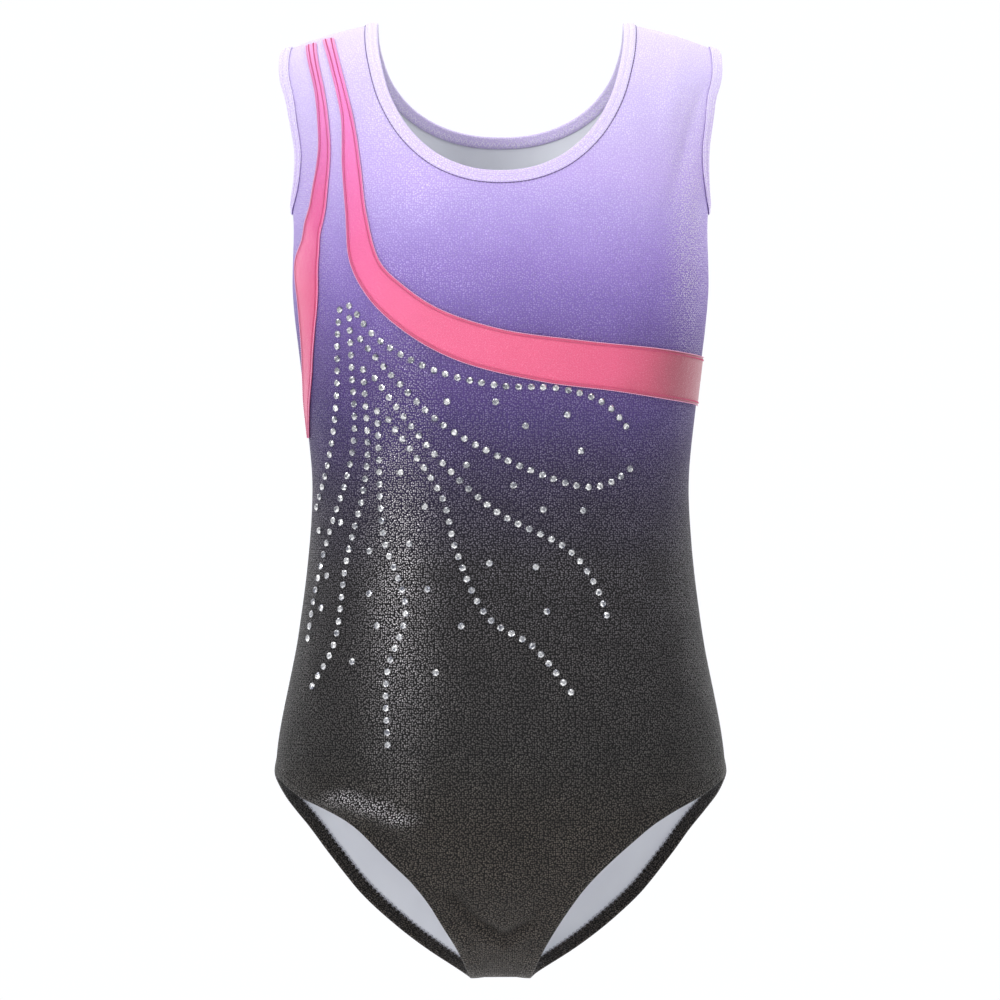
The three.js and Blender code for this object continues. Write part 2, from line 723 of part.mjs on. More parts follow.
function rayRun(guide) {
  const curve = new THREE.CatmullRomCurve3(guide.map((frame) => frame.place), false, 'centripetal');
  const length = curve.getLength();
  const span = length - stoneDiameter;
  const count = Math.round(span / stonePitch);
  const frameAt = (distance, section) => {
    const share = THREE.MathUtils.clamp(distance / length, 0, 1);
    const nearest = guide[Math.round(curve.getUtoTmapping(share) * (guide.length - 1))];
    const frame = settle(curve.getPointAt(share), nearest);
    frame.away = frame.out.clone().cross(curve.getTangentAt(share)).normalize();
    frame.section = section;
    return frame;
  };
  const centres = [];
  for (let step = 0; step <= count; step += 1) {
    const centre = girdle + span * step / count;
    if (clearOfOthers(frameAt(centre))) centres.push(centre);
  }
  centres.forEach((centre) => placed.push(frameAt(centre).place));
  const run = [frameAt(centres[0] - girdle, glueSection)];
  centres.forEach((centre, step) => {
    const next = centres[step + 1] ?? centre + stoneDiameter;
    run.push(frameAt(centre - stoneHalfLength, stoneSection));
    run.push(frameAt(centre + stoneHalfLength, stoneSection));
    run.push(frameAt((centre + next) / 2, glueSection));
  });
  return run;
}

rays.forEach((ray, index) => {
  const run = rayRun(ray.map(onBodice));
  addPiece(`rhinestone_ray_${index + 1}`, sweep(run, glueSection, false), 'rhinestone');
});

let single = 0;
for (const spot of loneStones) {
  const frame = onBodice(spot);
  if (!clearOfOthers(frame)) continue;
  placed.push(frame.place);
  single += 1;
  addPiece(`rhinestone_${single}`, stoneGeometry(frame), 'rhinestone');
}

export default garment;
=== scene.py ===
import math
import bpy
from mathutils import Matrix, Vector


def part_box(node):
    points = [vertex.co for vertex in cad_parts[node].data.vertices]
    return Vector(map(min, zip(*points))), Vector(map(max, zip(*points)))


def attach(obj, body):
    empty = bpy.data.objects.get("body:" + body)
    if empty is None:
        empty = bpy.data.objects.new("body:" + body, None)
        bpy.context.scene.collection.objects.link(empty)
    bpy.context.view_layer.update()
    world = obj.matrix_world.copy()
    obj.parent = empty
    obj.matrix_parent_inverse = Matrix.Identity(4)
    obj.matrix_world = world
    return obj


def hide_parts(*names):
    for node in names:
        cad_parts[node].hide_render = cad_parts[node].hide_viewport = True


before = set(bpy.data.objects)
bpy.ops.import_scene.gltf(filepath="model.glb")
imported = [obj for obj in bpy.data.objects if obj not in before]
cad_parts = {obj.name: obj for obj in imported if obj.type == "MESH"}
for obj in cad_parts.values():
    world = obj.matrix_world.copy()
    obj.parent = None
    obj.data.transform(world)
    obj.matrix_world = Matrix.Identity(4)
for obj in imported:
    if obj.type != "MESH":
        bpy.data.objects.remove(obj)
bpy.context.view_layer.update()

from types import SimpleNamespace

import bmesh
import bpy
from mathutils import Vector, noise

# --- Studio -----------------------------------------------
# A white paper floor, a white paper wall that only reflects light, and a long lens level with
# the garment's middle. Soft lamps stand at both front corners, above and behind.


def linear(hexcode):
    """A colour given as sRGB hex, as linear red, green, blue and alpha."""
    parts = [int(hexcode[i:i + 2], 16) / 255 for i in (1, 3, 5)]
    return [p / 12.92 if p <= 0.04045 else ((p + 0.055) / 1.055) ** 2.4 for p in parts] + [1.0]


def add_node(tree, kind, inputs=None, **settings):
    """Adds a shader node with its settings. A node given as an input is its first output."""
    node = tree.nodes.new("ShaderNode" + kind)
    for name, value in settings.items():
        setattr(node, name, value)
    for socket, value in (inputs or {}).items():
        if isinstance(value, bpy.types.Node):
            value = value.outputs[0]
        if isinstance(value, bpy.types.NodeSocket):
            tree.links.new(value, node.inputs[socket])
        else:
            node.inputs[socket].default_value = value
    return node


def new_material(name):
    made = bpy.data.materials.new(name)
    made.use_nodes = True
    made.node_tree.nodes.clear()
    return made, made.node_tree


def white_paper():
    paper, tree = new_material("white_paper")
    coords = add_node(tree, "TexCoord").outputs
    grain = add_node(tree, "TexNoise", {"Vector": coords["Object"], "Scale": 3.0})
    tone = add_node(tree, "MapRange", {"Value": grain, "To Min": 0.95, "To Max": 1.0})
    shader = add_node(tree, "BsdfDiffuse", {"Color": tone})
    add_node(tree, "OutputMaterial", {"Surface": shader})
    return paper


def paper_sheet(name, place, turn, material):
    bpy.ops.mesh.primitive_plane_add(size=8.0, location=place, rotation=turn)
    sheet = bpy.context.object
    sheet.name = name
    sheet.data.materials.append(material)
    return sheet


def soft_lamp(name, place, aim, size, power):
    lamp = bpy.data.lights.new(name, "AREA")
    lamp.shape = "RECTANGLE"
    lamp.size, lamp.size_y = size
    lamp.energy = power
    holder = bpy.data.objects.new(name, lamp)
    bpy.context.scene.collection.objects.link(holder)
    holder.location = place
    holder.rotation_euler = (Vector(aim) - Vector(place)).to_track_quat("-Z", "Y").to_euler()


paper = white_paper()
paper_sheet("paper_floor", (0, 0, -0.72), (0, 0, 0), paper)
paper_wall = paper_sheet("paper_wall", (0, 2.8, 1.6), (math.pi / 2, 0, 0), paper)
paper_wall.visible_camera = False
middle = (0, 0, -0.26)
soft_lamp("left_softbox", (-1.35, -2.4, 0.75), (0, 0, -0.22), (0.5, 1.3), 34)
soft_lamp("right_softbox", (1.7, -2.1, 1.0), (0, 0, -0.12), (0.7, 1.4), 16)
soft_lamp("top_softbox", (0, -0.6, 2.0), middle, (2.0, 1.4), 14)
soft_lamp("back_left_softbox", (-2.0, 2.1, 0.8), middle, (1.0, 1.6), 12)
soft_lamp("back_right_softbox", (2.0, 2.1, 0.8), middle, (1.0, 1.6), 12)
soft_lamp("paper_lamp", (0, 0.9, 2.6), (0, 2.8, -0.3), (5.0, 1.0), 60)

world = bpy.data.worlds.new("studio_air")
world.use_nodes = True
air = world.node_tree
seen = add_node(air, "LightPath")
strength = add_node(air, "MapRange", {"Value": seen.outputs["Is Camera Ray"], "To Min": 0.5,
    "To Max": 1.1})
air.nodes["Background"].inputs["Color"].default_value = linear("#f4f5f8")
air.links.new(strength.outputs["Result"], air.nodes["Background"].inputs["Strength"])
bpy.context.scene.world = world
bpy.context.scene.view_settings.view_transform = "Standard"

camera_distance = 6.0
view_width = 0.546
camera = bpy.data.objects.new("camera", bpy.data.cameras.new("camera"))
bpy.context.scene.collection.objects.link(camera)
camera.location = (-0.0003, -camera_distance, -0.2599)
camera.rotation_euler = (math.pi / 2, 0, 0)
camera.data.sensor_width = 36
camera.data.lens = 36 * camera_distance / view_width
camera.data.clip_end = 50
bpy.context.scene.camera = camera

# --- Body panels ------------------------------------------
# Front and back are each one piece of four-way stretch knit, printed with foil dots, with the
# colour fading down the body. They are cut flat and stretched over the wearer's form.

# Millimetres, as in the part: drop, half width, front depth, back depth of each section.
body_length = 520.0
armhole_drop = 96.5
leg_top = 409.0
shoulder_half, neck_half, hip_half, crotch_half = 119.3, 66.7, 122.0, 17.0
front_neck_drop, back_neck_drop = 82.0, 59.5
hip_front, hip_back = 76, 87
shoulder_round, crotch_round = 60.0, 100.0
corner_power, neckline_power = 2.3, 2.2
sections = [
    (0, 146.3, 66, 66), (45, 125.3, 71, 71), (96.5, 113.3, 76, 75), (148, 113, 77, 74),
    (202, 107, 74, 68), (256, 102.4, 70, 63), (326.08, 108.8, 73, 75),
    (402, 122, hip_front, hip_back), (450, 119, 75, 88), (520, 98, 66, 78),
]
shoulder_arc = shoulder_round * math.pi / 2
crotch_arc = crotch_round * math.pi / 2
travel_end = shoulder_arc + body_length - shoulder_round - crotch_round + crotch_arc


def section_value(drop, column):
    """A smooth curve through one column of the sections."""
    index = 0
    while index < len(sections) - 2 and sections[index + 1][0] < drop:
        index += 1

    def slope(at):
        before, after = sections[max(at - 1, 0)], sections[min(at + 1, len(sections) - 1)]
        return (after[column] - before[column]) / (after[0] - before[0])

    start, end = sections[index], sections[index + 1]
    span = end[0] - start[0]
    s = (drop - start[0]) / span
    keep = 2 * s ** 3 - 3 * s ** 2 + 1
    value = keep * start[column] + (1 - keep) * end[column]
    value += (s ** 3 - 2 * s ** 2 + s) * span * slope(index)
    return value + (s ** 3 - s ** 2) * span * slope(index + 1)


def travel_at(drop):
    if drop < shoulder_round:
        return shoulder_round * math.acos(1 - max(drop, 0) / shoulder_round)
    rise = max(body_length - drop, 0)
    if rise < crotch_round:
        return travel_end - crotch_round * math.acos(1 - rise / crotch_round)
    return shoulder_arc + drop - shoulder_round


def shoulder_fall(across, drop):
    return 0.0363 * max(abs(across) - 62, 0) ** 1.5 * max(1 - drop / 140, 0) ** 2


def corner_size(sine, cosine, power):
    return (abs(sine) ** power + abs(cosine) ** power) ** (1 / power)


def form_point(angle, travel):
    """A point of the form: the angle from the centre front, the travel down the cloth."""
    if travel < 0:
        return form_point(math.pi - angle, -travel)
    if travel > travel_end:
        return form_point(math.pi - angle, 2 * travel_end - travel)
    if travel < shoulder_arc:
        drop = shoulder_round * (1 - math.cos(travel / shoulder_round))
        bulge = math.sin(travel / shoulder_round)
    elif travel > travel_end - crotch_arc:
        drop = body_length - crotch_round * (1 - math.cos((travel_end - travel) / crotch_round))
        bulge = math.sin((travel_end - travel) / crotch_round)
    else:
        drop, bulge = shoulder_round + travel - shoulder_arc, 1
    sine, cosine = math.sin(angle), math.cos(angle)
    size = corner_size(sine, cosine, corner_power)
    across = section_value(drop, 1) * sine / size
    depth = section_value(drop, 2 if cosine > 0 else 3) * bulge * cosine / size
    return Vector((across, -depth, -drop - shoulder_fall(across, drop)))


def spot_at(angle, travel):
    """A spot on the cloth, with the way out of it and the two ways along it."""
    small = 0.002
    around = (form_point(angle + small, travel) - form_point(angle - small, travel)) / (2 * small)
    down = (form_point(angle, travel + small) - form_point(angle, travel - small)) / (2 * small)
    return SimpleNamespace(angle=angle, travel=travel, place=form_point(angle, travel),
                           around=around, down=down, out=down.cross(around).normalized(), away=None)


def settle(target, guess, rounds=4):
    """The spot of the cloth that lies nearest to a point close to it."""
    angle, travel = guess.angle, guess.travel
    for _ in range(rounds):
        here = spot_at(angle, travel)
        miss = target - here.place
        aa, ad = here.around.dot(here.around), here.around.dot(here.down)
        dd = here.down.dot(here.down)
        ma, md = miss.dot(here.around), miss.dot(here.down)
        det = aa * dd - ad * ad
        angle += (ma * dd - md * ad) / det
        travel += (md * aa - ma * ad) / det
    if travel < 0:
        angle, travel = math.pi - angle, -travel
    if travel > travel_end:
        angle, travel = math.pi - angle, 2 * travel_end - travel
    return spot_at(angle, travel)


def seen_spot(across, down, on_back=False):
    """The spot at a place given as it is seen from straight in front."""
    drop = down
    for _ in range(12):
        drop = max(down - shoulder_fall(across, drop), 0)
    share = min(abs(across) / section_value(drop, 1), 0.9999)
    rest = (1 - share ** corner_power) ** (1 / corner_power)
    angle = math.atan2(share, -rest if on_back else rest)
    return spot_at(-angle if across < 0 else angle, travel_at(drop))


def smooth_line(points, closed, count):
    """Evenly spaced points on a centripetal curve, and which guide point each is nearest."""
    total = len(points) if closed else len(points) - 1
    dense, parts = [], 24
    for index in range(total):
        if closed:
            p = [points[(index + k - 1) % len(points)] for k in range(4)]
        else:
            first = points[index - 1] if index else points[0] * 2 - points[1]
            last = points[index + 2] if index + 2 <= total else points[-1] * 2 - points[-2]
            p = [first, points[index], points[index + 1], last]
        t = [0.0]
        for k in range(3):
            t.append(t[-1] + max((p[k + 1] - p[k]).length, 1e-6) ** 0.5)
        for part in range(parts):
            at = t[1] + (t[2] - t[1]) * part / parts
            a = [p[k] * ((t[k + 1] - at) / (t[k + 1] - t[k]))
                 + p[k + 1] * ((at - t[k]) / (t[k + 1] - t[k])) for k in range(3)]
            b = [a[k] * ((t[k + 2] - at) / (t[k + 2] - t[k]))
                 + a[k + 1] * ((at - t[k]) / (t[k + 2] - t[k])) for k in range(2)]
            span = t[2] - t[1]
            dense.append((b[0] * ((t[2] - at) / span) + b[1] * ((at - t[1]) / span),
                          index + part / parts))
    dense.append((points[0].copy(), total) if closed else (points[-1].copy(), total))
    far = [0.0]
    for before, after in zip(dense, dense[1:]):
        far.append(far[-1] + (after[0] - before[0]).length)
    line, k = [], 0
    for step in range(count if closed else count + 1):
        goal = far[-1] * step / count
        while k + 2 < len(far) and far[k + 1] < goal:
            k += 1
        mix = (goal - far[k]) / max(far[k + 1] - far[k], 1e-9)
        line.append((dense[k][0].lerp(dense[k + 1][0], mix), round(dense[k][1]) % len(points)))
    return line, far[-1]


def run_through(spots, closed, count):
    line, _ = smooth_line([spot.place for spot in spots], closed, count)
    return [settle(place, spots[nearest], 6) for place, nearest in line]


def aim_away(run):
    """Gives each spot round an opening the way along the cloth that leads from the hole."""
    centre = sum((spot.place for spot in run), Vector()) / len(run)
    facing = 0
    for index, spot in enumerate(run):
        ahead, behind = run[(index + 1) % len(run)].place, run[index - 1].place
        spot.away = spot.out.cross(ahead - behind).normalized()
        facing += spot.away.dot(spot.place - centre)
    if facing < 0:
        for spot in run:
            spot.away = -spot.away
    return run


def move_away(run, distance):
    return [settle(spot.place + spot.away * distance, spot) for spot in run]


def neck_edge():
    spots, guides = [], 24
    for step in range(guides):
        turn = math.tau * step / guides
        sine, cosine = math.sin(turn), math.cos(turn)
        size = corner_size(sine, cosine, neckline_power)
        drop = front_neck_drop if cosine > 0 else back_neck_drop
        spots.append(seen_spot(neck_half * sine / size, drop * abs(cosine) / size, cosine < -1e-9))
    return spots


def armhole_edge(side):
    half = [(math.radians(a), travel_at(s * armhole_drop))
            for a, s in ((59.7, 0.31), (63.6, 0.53), (67, 0.735), (75, 0.91))]
    tip = seen_spot(shoulder_half, 0)
    line = [(tip.angle, 0), *half, (math.pi / 2, travel_at(armhole_drop))]
    line += [(math.pi - a, t) for a, t in reversed(half)]
    return [spot_at(side * a, t) for a, t in line]


def leg_edge(side):
    front = ((0.867, 0.108), (0.643, 0.228), (0.428, 0.396), (0.27, 0.553), (0.137, 0.733),
             (0.04, 0.9))
    back = ((0.04, 0.977), (0.187, 0.898), (0.394, 0.757), (0.56, 0.616), (0.727, 0.42),
            (0.867, 0.239))

    def spot(outward, down, on_back):
        across = side * (crotch_half + (hip_half - crotch_half) * outward)
        return seen_spot(across, leg_top + (body_length - leg_top) * down, on_back)

    return [spot_at(side * math.pi / 2, travel_at(leg_top)),
            *(spot(*pair, False) for pair in front),
            seen_spot(side * crotch_half, body_length),
            *(spot(*pair, True) for pair in back)]


# Folds of the front and of the back: across and height of both ends, half width, rise.
front_folds = [
    (-106, -418, -74, -425, 4.4, 4.2), (-74, -425, -46, -438, 4.2, 4.6),
    (-100, -428, -56, -447, 5.0, -3.4), (-88, -441, -52, -461, 4.2, 1.7),
    (-76, -453, -46, -476, 4.4, -1.4), (-46, -438, -26, -452, 5.0, 1.2),
    (107, -408, 66, -424, 5.0, 1.9), (99, -420, 58, -438, 5.0, -1.4),
    (52, -426, 84, -402, 4.6, 1.2), (72, -440, 44, -464, 4.6, 1.1),
    (-28, -472, -14, -488, 3.2, -3.8), (-14, -488, 2, -498, 3.2, -4.6),
    (2, -498, 17, -489, 3.2, -3.6), (-34, -486, -16, -503, 3.6, 1.4),
    (17, -489, 27, -468, 3.6, -1.2), (-108, -104, -90, -124, 6.0, 1.3),
    (109, -38, 92, -100, 3.6, -1.5), (114, -50, 103, -112, 6.0, 1.5),
    (104, -146, 90, -184, 5.0, -1.3), (-60, -12, -52, -60, 6.0, 0.7), (98, -14, 88, -70, 6.0, 0.8),
]
back_folds = [
    (-106, -412, -60, -432, 7.0, 1.3), (106, -412, 60, -432, 7.0, 1.3),
    (-94, -430, -48, -456, 7.0, -1.0), (94, -430, 48, -456, 7.0, -1.0),
    (-58, -262, 52, -268, 9.0, 0.8), (-66, -280, 40, -286, 9.0, -0.7),
    (-100, -112, -70, -140, 7.0, 0.8), (100, -112, 70, -140, 7.0, 0.8),
    (0, -430, 0, -505, 10.0, -1.6),
]

# Soft swells as rise and size, the mound above the crotch, and how far the sides stay flat.
swells = ((0.45, 38), (0.2, 14))
mound_rise, mound_drop, mound_half = 5.0, 464, (20, 24)
flat_at_seam = 12


def fold_rise(spot):
    """How far the folds and the soft unevenness of the cloth lift it off the form."""
    x, z = spot.place.x, spot.place.z
    on_front = math.cos(spot.angle) > 0
    rise = sum(height * noise.noise(spot.place / size) for height, size in swells)
    for x1, z1, x2, z2, width, height in front_folds if on_front else back_folds:
        dx, dz = x2 - x1, z2 - z1
        share = min(max(((x - x1) * dx + (z - z1) * dz) / (dx * dx + dz * dz), 0), 1)
        off2 = (x - x1 - share * dx) ** 2 + (z - z1 - share * dz) ** 2
        rise += height * math.exp(-off2 / width ** 2) * (0.45 + 0.55 * math.sin(math.pi * share))
    if on_front:
        rise += mound_rise * math.exp(-(x / mound_half[0]) ** 2
                                      - ((z + mound_drop) / mound_half[1]) ** 2)
    fade = min(max(1 - abs(spot.place.y) / flat_at_seam, 0), 1)
    return rise * (1 - fade * 0.9)


def lifted(spot, lift):
    return spot.place + spot.out * (lift + fold_rise(spot))


print_top, print_end, print_share = 30, 470, 0.96


def around_distance(angle, travel):
    """How far round the cloth a spot lies from the centre front, for its print."""
    drop = min(max(travel - shoulder_arc + shoulder_round, print_top), print_end)
    return angle * section_value(drop, 1) * print_share


def finished(mesh, name, materials):
    """An object of its own from a mesh in the making."""
    data = bpy.data.meshes.new(name)
    mesh.to_mesh(data)
    mesh.free()
    for material in materials:
        data.materials.append(material)
    piece = bpy.data.objects.new(name, data)
    bpy.context.scene.collection.objects.link(piece)
    return piece


def thicken(piece, thickness, inner=0):
    """Gives a sheet its thickness in millimetres, and the material of its inner face."""
    wall = piece.modifiers.new("cloth", "SOLIDIFY")
    wall.thickness = thickness * 0.001
    wall.offset = -1
    wall.material_offset = inner
    bpy.ops.object.select_all(action="DESELECT")
    bpy.context.view_layer.objects.active = piece
    piece.select_set(True)
    bpy.ops.object.modifier_apply(modifier=wall.name)


def cloth_object(name, rows, closed, materials, thickness=0.0):
    """A sheet from rows of (spot, lift, across, along), in metres, with its print map."""
    mesh = bmesh.new()
    layer = mesh.loops.layers.uv.new("print")
    made = [[mesh.verts.new(lifted(*point[:2]) * 0.001) for point in row] for row in rows]
    count = len(rows) if closed else len(rows) - 1
    facing = 0
    for r in range(count):
        s = (r + 1) % len(rows)
        for c in range(len(rows[r]) - 1):
            corners = [(r, c), (s, c), (s, c + 1), (r, c + 1)]
            face = mesh.faces.new([made[i][j] for i, j in corners])
            face.smooth = True
            for loop, (i, j) in zip(face.loops, corners):
                along = rows[i][j][3]
                if closed and s == 0 and i == 0:
                    along += 2 * rows[-1][j][3] - rows[-2][j][3]
                loop[layer].uv = (rows[i][j][2] * 0.001, along * 0.001)
            face.normal_update()
            spot, lift = rows[r][c][:2]
            facing += face.normal.dot(spot.out) * (1 if lift >= 0 else -1) * face.calc_area()
    if facing < 0:
        bmesh.ops.reverse_faces(mesh, faces=mesh.faces[:])
    bmesh.ops.remove_doubles(mesh, verts=mesh.verts[:], dist=2e-6)
    piece = finished(mesh, name, materials)
    if thickness:
        thicken(piece, thickness)
    return piece


def between(one, two, share, side=1):
    angle = one.angle + (two.angle - one.angle) * share
    return spot_at(side * angle, one.travel + (two.travel - one.travel) * share)


knit_thickness, seam_gap = 0.7, 0.4


def quarter(run, face, count):
    """The part of a run on one quarter of the body, ended on its seams, evenly spaced."""
    def inside(spot):
        return face * spot.place.y > seam_gap / 2 and spot.place.x > -1e-6

    def meet(start, end):
        limit = face * seam_gap / 2
        if face * end.place.y <= seam_gap / 2:
            share = (limit - start.place.y) / (end.place.y - start.place.y)
        else:
            share = start.place.x / (start.place.x - end.place.x)
        return settle(start.place.lerp(end.place, share), start)

    doubled = run + run
    first = next(i for i in range(1, len(doubled))
                 if inside(doubled[i]) and not inside(doubled[i - 1]))
    last = first
    while inside(doubled[last + 1]):
        last += 1
    kept = doubled[first:last + 1]
    if kept[0].place.x > 0.01:
        kept.insert(0, meet(doubled[first], doubled[first - 1]))
    if kept[-1].place.x > 0.01:
        kept.append(meet(doubled[last], doubled[last + 1]))
    line, _ = smooth_line([spot.place for spot in kept], False, count)
    even = [settle(place, kept[min(near, len(kept) - 1)]) for place, near in line]
    return even if even[0].place.z > even[-1].place.z else even[::-1]


def straight_down(angle_at, start, end, count):
    travels = [start + (end - start) * step / count for step in range(count + 1)]
    return [spot_at(angle_at(travel), travel) for travel in travels]


trace_steps = 240
cut_inset = 4.2
neck_run, arm_run, leg_run = (aim_away(run_through(edge, True, trace_steps))
                              for edge in (neck_edge(), armhole_edge(1), leg_edge(1)))
neck_cut, arm_cut, leg_cut = (move_away(run, cut_inset) for run in (neck_run, arm_run, leg_run))


def panel(name, face, materials):
    neck_rows, arm_rows, side_rows, leg_rows, columns = 34, 52, 100, 64, 58
    centre = 0.0 if face < 0 else math.pi
    neck = quarter(neck_cut, face, neck_rows)
    arm = quarter(arm_cut, face, arm_rows)
    leg = quarter(leg_cut, face, leg_rows)
    neck[-1] = spot_at(centre, neck[-1].travel)

    def seam_turn(travel):
        girth = section_value(max(travel - shoulder_arc + shoulder_round, 0), 1)
        return math.pi / 2 + face * (seam_gap / 2) / girth

    crotch = travel_end - seam_gap / 2 * crotch_round / (hip_front if face < 0 else hip_back)
    side = straight_down(seam_turn, arm[-1].travel, leg[0].travel, side_rows)
    yoke = straight_down(lambda t: centre, neck[-1].travel, arm[-1].travel, arm_rows - neck_rows)
    middle_line = straight_down(lambda t: centre, arm[-1].travel, leg[0].travel, side_rows)
    bottom = straight_down(lambda t: centre, leg[0].travel, crotch, leg_rows)
    inner = neck + yoke[1:] + middle_line[1:] + bottom[1:]
    outer = arm + side[1:] + leg[1:]
    # The right half mirrors the left one, and they are joined down the centre line.
    sheets = []
    for half in (1, -1):
        rows = []
        for near, far in zip(inner, outer):
            spots = [between(near, far, column / columns, half) for column in range(columns + 1)]
            rows.append([(s, 0.35, around_distance(s.angle, s.travel), s.travel) for s in spots])
        sheets.append(cloth_object(f"{name}_half", rows, False, materials))
    bpy.ops.object.select_all(action="DESELECT")
    for sheet in sheets:
        sheet.select_set(True)
    bpy.context.view_layer.objects.active = sheets[0]
    bpy.ops.object.join()
    piece = bpy.context.object
    piece.name = piece.data.name = f"{name}_cloth"
    merge = bmesh.new()
    merge.from_mesh(piece.data)
    bmesh.ops.remove_doubles(merge, verts=merge.verts[:], dist=5e-6)
    bmesh.ops.dissolve_degenerate(merge, edges=merge.edges[:], dist=1e-7)
    merge.to_mesh(piece.data)
    merge.free()
    thicken(piece, knit_thickness, 1)
    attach(piece, "root")
    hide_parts(name)
    return piece


# Soft balls of painted highlight on the foil print, in metres: centre, reach and strength. They
# stand in for the lamps' highlight beside the centre front, the streaks near both armholes and the
# lit ridge of a hip fold.
painted_highlight_places = [
    ((-0.055, -0.07, -0.290), (0.032, 0.09, 0.190), 1.3),
    ((0.102, -0.03, -0.115), (0.022, 0.08, 0.130), 1.7),
    ((-0.106, -0.045, -0.110), (0.018, 0.08, 0.110), 0.8),
    ((-0.112, 0.0, -0.060), (0.020, 0.08, 0.060), 0.5),
    ((-0.084, -0.07, -0.4215), (0.020, 0.09, 0.008), 1.6),
    ((-0.069, -0.07, -0.426), (0.018, 0.09, 0.008), 1.8),
    ((-0.055, -0.07, -0.432), (0.018, 0.09, 0.007), 1.3),
]


def fill_ramp(fade, stops, length):
    """Sets a ramp's colours, each at its distance in millimetres along a length."""
    ramp = fade.color_ramp.elements
    while len(ramp) < len(stops):
        ramp.new(0.5)
    for element, (distance, colour) in zip(ramp, stops):
        element.position = distance / length
        element.color = linear(colour)


def foil_spandex(name, cloth_stops, dot_stops):
    """Nylon and elastane knit with a printed dot of foil in every 1.2 mm, dyed in a fade."""
    made, tree = new_material(name)
    coords = add_node(tree, "TexCoord").outputs
    height = add_node(tree, "SeparateXYZ", {"Vector": coords["Object"]})
    drift = add_node(tree, "TexNoise", {"Vector": coords["Object"], "Scale": 22.0})
    shift = add_node(tree, "Math", {0: drift, 1: 0.022, 2: height.outputs["Z"]},
        operation="MULTIPLY_ADD")
    level = add_node(tree, "MapRange", {"Value": shift, "From Min": 0.011, "From Max": -0.509})
    fades = []
    for stops in (cloth_stops, dot_stops):
        fade = add_node(tree, "ValToRGB", {"Fac": level})
        fill_ramp(fade, stops, body_length)
        fades.append(fade)
    dots = add_node(tree, "TexVoronoi", {"Vector": coords["UV"], "Scale": 850.0,
        "Randomness": 0.75}, voronoi_dimensions="2D")
    spot = add_node(tree, "MapRange", {"Value": dots, "From Min": 0.44, "From Max": 0.22},
        interpolation_type="SMOOTHSTEP")
    chance = add_node(tree, "SeparateColor", {"Color": dots.outputs["Color"]})
    kept = add_node(tree, "MapRange", {"Value": chance, "To Min": 0.4, "To Max": 1.0})
    wear = add_node(tree, "TexNoise", {"Vector": coords["Object"], "Scale": 75.0, "Detail": 4.0})
    worn = add_node(tree, "MapRange", {"Value": wear, "From Min": 0.3, "From Max": 0.7,
        "To Min": 0.65})
    foil = add_node(tree, "Math", {0: spot, 1: kept}, operation="MULTIPLY")
    foil = add_node(tree, "Math", {0: foil, 1: worn}, operation="MULTIPLY")
    # Painted highlight: inside these soft balls the foil dots are mixed toward near-white, standing
    # in for the lamps' highlights on the foil.
    highlight_amount = 0.0
    for centre, reach, strength in painted_highlight_places:
        near = add_node(tree, "Mapping", {"Vector": coords["Object"],
            "Scale": [1 / r for r in reach], "Location": [-c / r for c, r in zip(centre, reach)]})
        ball = add_node(tree, "TexGradient", {"Vector": near.outputs["Vector"]},
            gradient_type="QUADRATIC_SPHERE")
        highlight_amount = add_node(tree, "Math", {0: ball.outputs["Fac"], 1: strength, 2: highlight_amount},
            operation="MULTIPLY_ADD")
    highlight_share = add_node(tree, "Math", {0: highlight_amount, 1: spot}, operation="MULTIPLY", use_clamp=True)
    highlight_mix = add_node(tree, "Mix", {0: highlight_share, 6: fades[1], 7: linear("#f3eef2")}, data_type="RGBA")
    fades[1] = highlight_mix.outputs[2]
    colour = add_node(tree, "Mix", {0: foil, 6: fades[0], 7: fades[1]}, data_type="RGBA")
    mirror = add_node(tree, "MapRange", {"Value": level, "From Min": 0.1, "From Max": 0.5,
        "To Min": 0.25, "To Max": 0.85})
    shine = add_node(tree, "Math", {0: foil, 1: mirror}, operation="MULTIPLY")
    rough = add_node(tree, "MapRange", {"Value": foil, "To Min": 0.7, "To Max": 0.26})
    depth = add_node(tree, "MapRange", {"Value": level, "From Min": 0.15, "From Max": 0.45,
        "To Min": 0.3, "To Max": 1.0})
    tilt = add_node(tree, "TexNoise", {"Vector": coords["UV"], "Scale": 420.0, "Detail": 1.0})
    uneven = add_node(tree, "Bump", {"Height": tilt, "Strength": depth, "Distance": 0.0013})
    relief = add_node(tree, "Bump", {"Height": spot, "Strength": depth, "Distance": 0.0009,
        "Normal": uneven})
    shader = add_node(tree, "BsdfPrincipled", {"Base Color": colour.outputs[2], "Metallic": shine,
        "Roughness": rough, "Normal": relief, "Specular IOR Level": 0.25, "Sheen Weight": 0.03,
        "Sheen Roughness": 0.45})
    add_node(tree, "OutputMaterial", {"Surface": shader})
    return made


def white_jersey(name, colour, scale):
    """The pale knitted inner face of the cloth, with fine ribs of loops."""
    made, tree = new_material(name)
    coords = add_node(tree, "TexCoord").outputs
    ribs = add_node(tree, "TexWave", {"Vector": coords["UV"], "Scale": scale, "Distortion": 1.2,
        "Detail": 1.0}, wave_type="BANDS", bands_direction="X")
    soft = add_node(tree, "TexNoise", {"Vector": coords["Object"], "Scale": 30.0})
    tone = add_node(tree, "Mix", {0: soft, 6: linear(colour), 7: linear("#eff1f6")},
        data_type="RGBA")
    relief = add_node(tree, "Bump", {"Height": ribs.outputs["Fac"], "Strength": 0.3,
        "Distance": 0.0002})
    shader = add_node(tree, "BsdfPrincipled", {"Base Color": tone.outputs[2], "Roughness": 0.85,
        "Sheen Weight": 0.3, "Normal": relief})
    add_node(tree, "OutputMaterial", {"Surface": shader})
    return made


